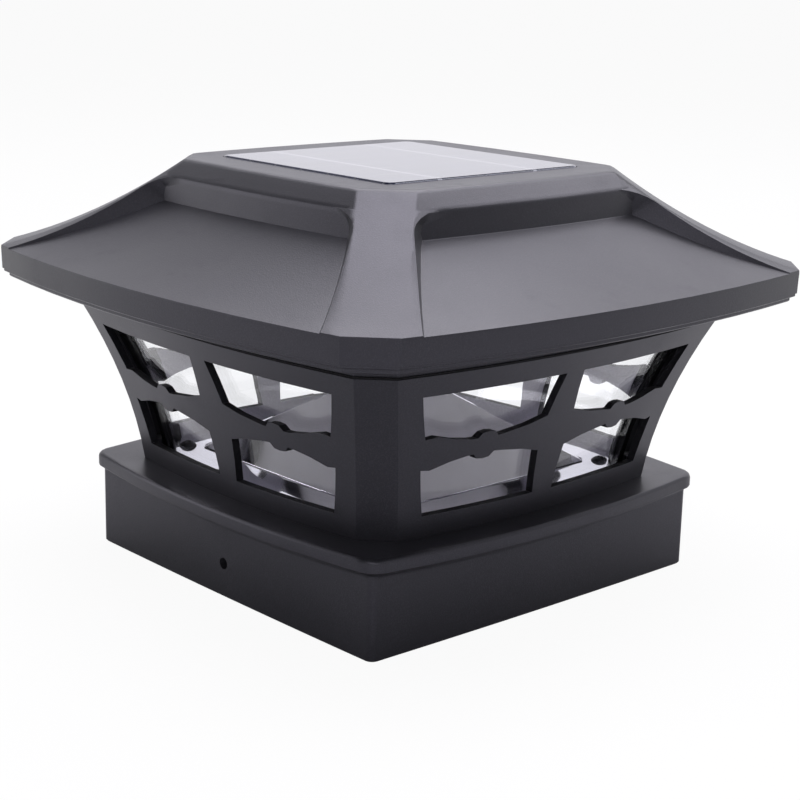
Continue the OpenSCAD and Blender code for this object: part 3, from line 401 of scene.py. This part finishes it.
# %% Clear sleeve
clear, tree, out = new_material("clear_sleeve")
place = add_node(tree, "ShaderNodeTexCoord", (-700, 0))
swell = add_node(tree, "ShaderNodeGroup", (-500, 0), node_tree=ripple)
swell.inputs["Scale"].default_value = 30.0
relief = add_node(tree, "ShaderNodeBump", (-250, 0), {"Strength": 1.0, "Distance": 0.0001})
shader = add_node(tree, "ShaderNodeBsdfPrincipled", (200, 0), {"Base Color": (0.985, 0.99, 1, 1),
    "Roughness": 0.0, "IOR": 1.49, "Transmission Weight": 1.0})
path = add_node(tree, "ShaderNodeLightPath", (-200, 500))
lets_light = add_node(tree, "ShaderNodeMath", (0, 400), operation="MAXIMUM")
open_way = add_node(tree, "ShaderNodeBsdfTransparent", (200, 200), {"Color": (0.93, 0.93, 0.94, 1)})
through = add_node(tree, "ShaderNodeMixShader", (450, 0))
join(tree,
    (place.outputs["Object"], swell.inputs["Vector"]),
    (swell.outputs[0], relief.inputs["Height"]),
    (relief.outputs[0], shader.inputs["Normal"]),
    (path.outputs["Is Shadow Ray"], lets_light.inputs[0]),
    (path.outputs["Is Diffuse Ray"], lets_light.inputs[1]),
    (lets_light.outputs[0], through.inputs[0]),
    (shader.outputs[0], through.inputs[1]),
    (open_way.outputs[0], through.inputs[2]),
    (through.outputs[0], out.inputs["Surface"]))
print("sleeve:", clear.name)

# %% [markdown]
# ## The mirrored plastic
#
# The reflector under the lamp is moulded plastic with a vapour of aluminium on it. A perfect
# mirror would look like cut glass. This one is a metal with a little roughness, hazy where it
# was touched, and a swell that bends what it mirrors.

# %% Metallised plastic
aluminium = (0.92, 0.91, 0.95, 1)

def metallised(name, rough, ripple_scale, ripple_depth, drawn):
    material, tree, out = new_material(name)
    place = add_node(tree, "ShaderNodeTexCoord", (-900, 0))
    swell = add_node(tree, "ShaderNodeGroup", (-700, 0), node_tree=ripple)
    swell.inputs["Scale"].default_value = ripple_scale
    swell.inputs["Drawn"].default_value = drawn
    haze = add_node(tree, "ShaderNodeGroup", (-700, -250), node_tree=clouds)
    sheen = add_node(tree, "ShaderNodeMapRange", (-400, -250),
        {"To Min": rough, "To Max": rough + 0.07})
    relief = add_node(tree, "ShaderNodeBump", (-400, 0),
        {"Strength": 1.0, "Distance": ripple_depth})
    shader = add_node(tree, "ShaderNodeBsdfPrincipled", (200, 0),
        {"Base Color": aluminium, "Metallic": 1.0})
    join(tree,
        (place.outputs["Object"], swell.inputs["Vector"]),
        (place.outputs["Object"], haze.inputs["Vector"]),
        (swell.outputs[0], relief.inputs["Height"]),
        (haze.outputs["Smudge"], sheen.inputs["Value"]),
        (sheen.outputs[0], shader.inputs["Roughness"]),
        (relief.outputs[0], shader.inputs["Normal"]),
        (shader.outputs[0], out.inputs["Surface"]))
    return material

mirror_floor = metallised("floor_metallised", 0.03, 13.0, 0.003, 0.2)
mirror_slope = metallised("pyramid_metallised", 0.05, 16.0, 0.0005, 0.6)
print("mirrors:", mirror_floor.name, mirror_slope.name)

# %% [markdown]
# ## The solar panel
#
# The panel is a small board with six strips of silicon under a cast sheet of clear resin. From
# the side, as in a product photo, the resin mirrors the pale studio and the cells hardly show.
# From above they come out. Real glass over real cells would need many light bounces for this.
# A Principled shader with a clear coat does both at once: the strips and the two bright bus
# bars are painted below, and the coat above them is what shines at a low angle.

# %% Laminate over the cells
panel_half = 0.0392
strip_count, strip_field = 6, 2 * panel_half - 0.005
strip_half_share, bus_bar_half = 0.468, 0.0008
laminate, tree, out = new_material("solar_laminate")
place = add_node(tree, "ShaderNodeTexCoord", (-1500, 0))
apart = add_node(tree, "ShaderNodeSeparateXYZ", (-1300, 0))
along = add_node(tree, "ShaderNodeMath", (-1100, 100),
    {1: strip_count / strip_field, 2: strip_count / 2}, operation="MULTIPLY_ADD")
turn = add_node(tree, "ShaderNodeMath", (-900, 100), operation="FRACT")
middle = add_node(tree, "ShaderNodeMath", (-700, 100), {1: 0.5}, operation="SUBTRACT")
away = add_node(tree, "ShaderNodeMath", (-550, 100), operation="ABSOLUTE")
gap = add_node(tree, "ShaderNodeMath", (-400, 100), {1: strip_half_share},
    operation="GREATER_THAN")
across = add_node(tree, "ShaderNodeMath", (-1100, -100), operation="ABSOLUTE")
bus = add_node(tree, "ShaderNodeMath", (-900, -100), {1: panel_half / 2}, operation="SUBTRACT")
bus_away = add_node(tree, "ShaderNodeMath", (-700, -100), operation="ABSOLUTE")
bar = add_node(tree, "ShaderNodeMath", (-550, -100), {1: bus_bar_half}, operation="LESS_THAN")
crystals = add_node(tree, "ShaderNodeTexVoronoi", (-1100, -350), {"Scale": 90.0})
silicon = add_node(tree, "ShaderNodeMix", (-400, -300),
    {6: screen(12, 16, 40), 7: screen(24, 32, 68)}, data_type="RGBA")
strips = add_node(tree, "ShaderNodeMix", (-150, 100), {7: screen(84, 86, 92)}, data_type="RGBA")
bars = add_node(tree, "ShaderNodeMix", (50, 0), {7: screen(150, 152, 160)}, data_type="RGBA")
swell = add_node(tree, "ShaderNodeGroup", (-400, -600), node_tree=ripple)
swell.inputs["Scale"].default_value = 60.0
relief = add_node(tree, "ShaderNodeBump", (-150, -500), {"Strength": 1.0, "Distance": 0.00004})
shader = add_node(tree, "ShaderNodeBsdfPrincipled", (350, 0), {"Roughness": 0.22, "IOR": 1.5,
    "Coat Weight": 1.0, "Coat Roughness": 0.1, "Coat IOR": 1.42,
    "Specular Tint": (0.8, 0.86, 1, 1)})

# %% The laminate's wires
join(tree,
    (place.outputs["Object"], apart.inputs[0]),
    (apart.outputs["X"], along.inputs[0]),
    (along.outputs[0], turn.inputs[0]),
    (turn.outputs[0], middle.inputs[0]),
    (middle.outputs[0], away.inputs[0]),
    (away.outputs[0], gap.inputs[0]),
    (apart.outputs["Y"], across.inputs[0]),
    (across.outputs[0], bus.inputs[0]),
    (bus.outputs[0], bus_away.inputs[0]),
    (bus_away.outputs[0], bar.inputs[0]),
    (place.outputs["Object"], crystals.inputs["Vector"]),
    (crystals.outputs["Distance"], silicon.inputs[0]),
    (silicon.outputs[2], strips.inputs[6]),
    (gap.outputs[0], strips.inputs[0]),
    (strips.outputs[2], bars.inputs[6]),
    (bar.outputs[0], bars.inputs[0]),
    (bars.outputs[2], shader.inputs["Base Color"]),
    (place.outputs["Object"], swell.inputs["Vector"]),
    (swell.outputs[0], relief.inputs["Height"]),
    (relief.outputs[0], shader.inputs["Normal"]),
    (shader.outputs[0], out.inputs["Surface"]))
print("laminate with", strip_count, "strips")

# %% [markdown]
# ## The small finishes
#
# Inside are boards, screws, a cell, wires and a lamp. Each could have a material drawn for it
# alone, but they differ only in numbers: one base colour, a second one that drifts over it, how
# large the drift is, how rough and how deep the skin. So one helper covers them all.

# %% A finish that drifts between two tones
def drifting(name, one, two, scale, rough, metal=0.0, depth=0.0, detail=3.0, ior=1.5):
    material, tree, out = new_material(name)
    place = add_node(tree, "ShaderNodeTexCoord", (-900, 0))
    noise = add_node(tree, "ShaderNodeTexNoise", (-700, 0),
        {"Scale": scale, "Detail": detail, "Roughness": 0.6})
    spread = add_node(tree, "ShaderNodeMapRange", (-450, 100), {"From Min": 0.35, "From Max": 0.65})
    colour = add_node(tree, "ShaderNodeMix", (-200, 100), {6: one, 7: two}, data_type="RGBA")
    sheen = add_node(tree, "ShaderNodeMapRange", (-450, -150),
        {"To Min": rough * 0.8, "To Max": rough * 1.25})
    relief = add_node(tree, "ShaderNodeBump", (-200, -300), {"Strength": 1.0, "Distance": depth})
    shader = add_node(tree, "ShaderNodeBsdfPrincipled", (200, 0), {"Metallic": metal, "IOR": ior})
    join(tree,
        (place.outputs["Object"], noise.inputs["Vector"]),
        (noise.outputs[0], spread.inputs["Value"]),
        (spread.outputs[0], colour.inputs[0]),
        (noise.outputs[0], sheen.inputs["Value"]),
        (noise.outputs[0], relief.inputs["Height"]),
        (colour.outputs[2], shader.inputs["Base Color"]),
        (sheen.outputs[0], shader.inputs["Roughness"]),
        (relief.outputs[0], shader.inputs["Normal"]),
        (shader.outputs[0], out.inputs["Surface"]))
    return material

# %% Screws, plate, foam and boards
black_screw = drifting("screw_black_oxide", screen(38, 38, 42), screen(62, 62, 68),
    600.0, 0.35, 0.6, 0.00002)
bright_screw = drifting("screw_zinc", screen(168, 170, 176), screen(205, 205, 210),
    500.0, 0.3, 1.0, 0.00002)
white_plate = drifting("ceiling_white", screen(226, 226, 224), screen(238, 238, 237),
    60.0, 0.5, 0.0, 0.00002)
foam = drifting("seal_foam", screen(22, 22, 23), screen(40, 40, 42), 900.0, 0.95, 0.0, 0.0002, 5.0)
board_green = drifting("board_lacquer", screen(16, 84, 46), screen(24, 104, 58),
    350.0, 0.3, 0.0, 0.00002)
board_white = drifting("lamp_board_lacquer", screen(222, 222, 218), screen(236, 236, 232),
    300.0, 0.4, 0.0, 0.00001)
cell_blue = drifting("cell_silicon", screen(18, 22, 48), screen(30, 38, 74), 120.0, 0.15)
pad_grey = drifting("pad_adhesive", screen(120, 120, 118), screen(150, 150, 146),
    500.0, 0.8, 0.0, 0.0001)
print(len(bpy.data.materials), "materials so far")

# %% Cell, contacts, chip, coil, lamp, switch and leads
wrap_green = drifting("cell_wrap", screen(24, 110, 66), screen(34, 132, 82),
    90.0, 0.25, 0.0, 0.00003)
spring_steel = drifting("contact_nickel", screen(178, 174, 160), screen(208, 204, 190),
    400.0, 0.25, 1.0, 0.00001)
chip_resin = drifting("chip_resin", screen(20, 20, 21), screen(32, 32, 33),
    900.0, 0.6, 0.0, 0.00003)
copper = drifting("coil_copper", screen(150, 74, 44), screen(196, 112, 70),
    700.0, 0.35, 1.0, 0.00008)
lamp_resin = drifting("lamp_dome_resin", screen(232, 224, 176), screen(246, 240, 204),
    200.0, 0.12, 0.0, 0.0, ior=1.53)
knob_white = drifting("knob_white", screen(214, 214, 210), screen(232, 232, 228),
    300.0, 0.45, 0.0, 0.00003)
lead_red = drifting("lead_red", screen(150, 24, 22), screen(176, 36, 32), 250.0, 0.4, 0.0, 0.00003)
lead_black = drifting("lead_black", screen(24, 24, 25), screen(38, 38, 40),
    250.0, 0.4, 0.0, 0.00003)
print(len(bpy.data.materials), "materials in all")

# %% [markdown]
# ## Dressing the nodes
#
# Every node of the frame gets its finish by name, also those that a finer piece will stand for,
# so that no bare grey is left anywhere. A table keeps this short, and the kinds that come in
# numbers, screws and leads, are told by their names.

# %% Which node wears which finish
finish_of = {
    "base": housing, "cage": housing, "roof_shell": housing,
    "roof_tray": inner_black, "battery_door": inner_black, "cell_box": inner_black,
    "lens": clear, "reflector_floor": mirror_floor, "reflector_pyramid": mirror_slope,
    "ceiling_reflector": white_plate, "top_seal": foam,
    "solar_pad": pad_grey, "solar_board": board_green, "solar_cells": cell_blue,
    "solar_cover": laminate, "control_board": board_green, "control_chip": chip_resin,
    "control_coil": copper, "battery_cell": wrap_green, "contact_plus": spring_steel,
    "contact_minus": spring_steel, "lamp_board": board_white, "lamp_dome": lamp_resin,
    "switch_body": chip_resin, "switch_knob": knob_white}

for name, node in nodes.items():
    if name.startswith("floor_screw"):
        finish = black_screw
    elif "screw" in name:
        finish = bright_screw
    elif name.endswith("lead_plus"):
        finish = lead_red
    elif name.endswith("lead_minus"):
        finish = lead_black
    else:
        finish = finish_of[name]
    node.data.materials.clear()
    node.data.materials.append(finish)
print("finishes used:", len({n.data.materials[0].name for n in nodes.values()}))

# %% [markdown]
# ## Soft edges
#
# A moulded edge always has a small radius, and the thin bright line along it is what makes
# plastic look real. The frame's mesh has knife-sharp edges. Modelling each piece again would
# lose its measured shape, so each large moulding is copied instead, its loose triangles are
# welded and its flat faces joined, and a bevel rounds whatever folds by more than a set angle.
# The bevel's own faces take the last finish, which is the rubbed one on the black mouldings.
# Then the surface is shaded smooth up to that angle, and its normals are weighted by area, so
# that the large faces stay even right up to the small round edges. A piece that needs another
# shape gets it before its flat faces are joined, because a face with many corners can't bend.

# %% A welded copy with soft edges
weld_distance = 0.000002
flat_angle = math.radians(0.3)

def begin_edit(piece):
    bpy.ops.object.select_all(action="DESELECT")
    piece.select_set(True)
    bpy.context.view_layer.objects.active = piece
    bpy.ops.object.mode_set(mode="EDIT")
    bpy.ops.mesh.select_all(action="SELECT")

def round_edges(piece, edge, fold, steps, last_finish):
    bevel = piece.modifiers.new("soft_edge", "BEVEL")
    bevel.width, bevel.segments = edge, steps
    bevel.limit_method, bevel.angle_limit = "ANGLE", math.radians(fold)
    bevel.material = last_finish
    bevel.use_clamp_overlap = True
    bevel.miter_outer = "MITER_ARC"
    bpy.ops.object.modifier_apply(modifier="soft_edge")

def soft_edged(node_name, piece_name, body, finishes, edge, fold=32, steps=2,
        reshape=None, merge_flat=True):
    mesh = nodes[node_name].data.copy()
    mesh.name = piece_name
    mesh.materials.clear()
    for finish in finishes:
        mesh.materials.append(finish)
    piece = bpy.data.objects.new(piece_name, mesh)
    bpy.context.scene.collection.objects.link(piece)
    begin_edit(piece)
    bpy.ops.mesh.remove_doubles(threshold=weld_distance)
    bpy.ops.mesh.normals_make_consistent(inside=False)
    bpy.ops.object.mode_set(mode="OBJECT")
    if reshape:
        reshape(mesh)
    if merge_flat:
        begin_edit(piece)
        bpy.ops.mesh.dissolve_limited(angle_limit=flat_angle)
        bpy.ops.object.mode_set(mode="OBJECT")
    if edge > 0:
        round_edges(piece, edge, fold, steps, len(finishes) - 1)
    bpy.ops.object.shade_smooth_by_angle(angle=math.radians(fold))
    even = piece.modifiers.new("even_shading", "WEIGHTED_NORMAL")
    even.keep_sharp = True
    bpy.ops.object.modifier_apply(modifier="even_shading")
    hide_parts(node_name)
    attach(piece, body)
    print(piece_name, len(mesh.vertices), "points,", len(mesh.polygons), "faces")
    return piece

# %% [markdown]
# ## The black mouldings
#
# The skirt stands on the post, the cage on the skirt, and the roof and its tray lift off
# together. The roof's edges catch the most light and are the softest, and the tray shows only
# the stepped lip under the eaves, so its edges are the finest. The skirt's flat faces could be
# joined too, but they have holes in them, and a large joined face with holes can fold over when
# it is cut into triangles, so the skirt keeps its own triangles.

# %% Skirt, cage, roof and tray
black_pair = [housing, housing_edge]
soft_edged("base", "post_skirt", "base_body", black_pair, 0.0003, merge_flat=False)
lantern_cage = soft_edged("cage", "lantern_cage", "base_body", black_pair, 0.0003)
soft_edged("roof_shell", "roof_cover", "roof_unit", black_pair, 0.0005)
soft_edged("roof_tray", "eave_tray", "roof_unit", black_pair, 0.0002)

# %% [markdown]
# ## The three skins of the cage
#
# Outside, the cage is the satin black of the housing. The sides of its windows and the insides
# of its corners come straight off the mould's steel, so they are matt, and their colour is
# painted darker as painted shade. The rest of its inside is painted pale as painted light, which
# stands in for the light on the far inner walls seen through the sleeve. Each skin could be a
# piece of its own, but the cage is one moulding, so only the faces' finishes differ. They are
# told apart by how far they turn from the outward direction of their wall.

# %% Sort the faces by the way they look
lantern_cage.data.materials.append(window_side)
lantern_cage.data.materials.append(cage_inside)
outside_skin, edge_skin, side_skin, inside_skin = range(4)
corner_reach = 0.022
looks_inwards, looks_sideways = -0.6, 0.45

def outward_of(spot):
    if abs(spot.x) > abs(spot.y):
        return Vector((math.copysign(1, spot.x), 0, 0))
    return Vector((0, math.copysign(1, spot.y), 0))

# Inward faces take the pale painted light, except in the corners, and corner faces and sideways
# faces take the painted shade.
for face in lantern_cage.data.polygons:
    spot = face.center
    facing_out = face.normal.dot(outward_of(spot))
    in_corner = abs(abs(spot.x) - abs(spot.y)) < corner_reach
    if facing_out < looks_inwards:
        face.material_index = side_skin if in_corner else inside_skin
    elif abs(facing_out) < looks_sideways and face.material_index == outside_skin:
        face.material_index = side_skin

skins = [face.material_index for face in lantern_cage.data.polygons]
for label, skin in (("outside", outside_skin), ("edges", edge_skin), ("window sides", side_skin),
        ("inside", inside_skin)):
    print(label, skins.count(skin), "faces")

# %% [markdown]
# ## The squeezed foam ring
#
# The foam ring under the roof is squeezed between the tray and the cage, so its rim bulges
# outwards. A simulation isn't needed for a bulge of about one millimetre: the outer wall is
# found by its normals, and its points are pushed outwards.

# %% Push the outer wall out
bulge = 0.0011
foam_ring = soft_edged("top_seal", "squeezed_seal", "roof_unit", [foam], 0.0)
outer = set()
for face in foam_ring.data.polygons:
    if abs(face.normal.z) < 0.5 and face.normal.dot(face.center) > 0:
        outer.update(face.vertices)
for number in outer:
    point = foam_ring.data.vertices[number]
    point.co += Vector((point.co.x, point.co.y, 0)).normalized() * bulge
print("points pushed out:", len(outer))

# %% [markdown]
# ## The sleeve and the mirror floor
#
# The clear sleeve stands behind the bars, and its edges lie in the cage, so they stay sharp.
# The mirror floor is one metallised moulding with a rim that turns down, and the small round
# edge there makes the bright line round it. It has the same finish twice, because the second
# one is for the bevel.

# %% Sleeve and floor
soft_edged("lens", "clear_sleeve", "base_body", [clear], 0.0)
soft_edged("reflector_floor", "mirror_floor", "base_body",
    [mirror_floor, mirror_floor], 0.0003)

# %% [markdown]
# ## The mirror pyramid
#
# The pyramid stands on a low step in the CAD model. On the real one the step hardly shows,
# because its slope runs out to the floor. A mirror shows every line twice, so a step would draw
# a frame into the floor's reflection. The top of the step could be cut off, but then the mesh
# would be open, so its points are only drawn down.

# %% Draw the foot down and round the ridges
foot_width, foot_height, foot_left = 0.001, 0.0005, 0.0003

def draw_foot_down(mesh):
    floor_top = min(point.co.z for point in mesh.vertices)
    foot = max(point.co.x for point in mesh.vertices) - foot_width
    drawn = 0
    for point in mesh.vertices:
        reach = max(abs(point.co.x), abs(point.co.y))
        if reach > foot and point.co.z > floor_top + foot_height:
            point.co.z = floor_top + foot_left
            drawn += 1
    print("points of the foot step brought down:", drawn)

soft_edged("reflector_pyramid", "mirror_pyramid", "base_body",
    [mirror_slope, mirror_slope], 0.0004, 20, 3, draw_foot_down)

# %% [markdown]
# ## The solar sheet
#
# The sheet over the cells lies in the roof's frame and stands about half a millimetre above the
# rim. A bevel on so low an edge would hardly be seen, so the sheet only gets its laminate.

# %% The sheet over the cells
soft_edged("solar_cover", "solar_sheet", "roof_unit", [laminate], 0.0, 40)
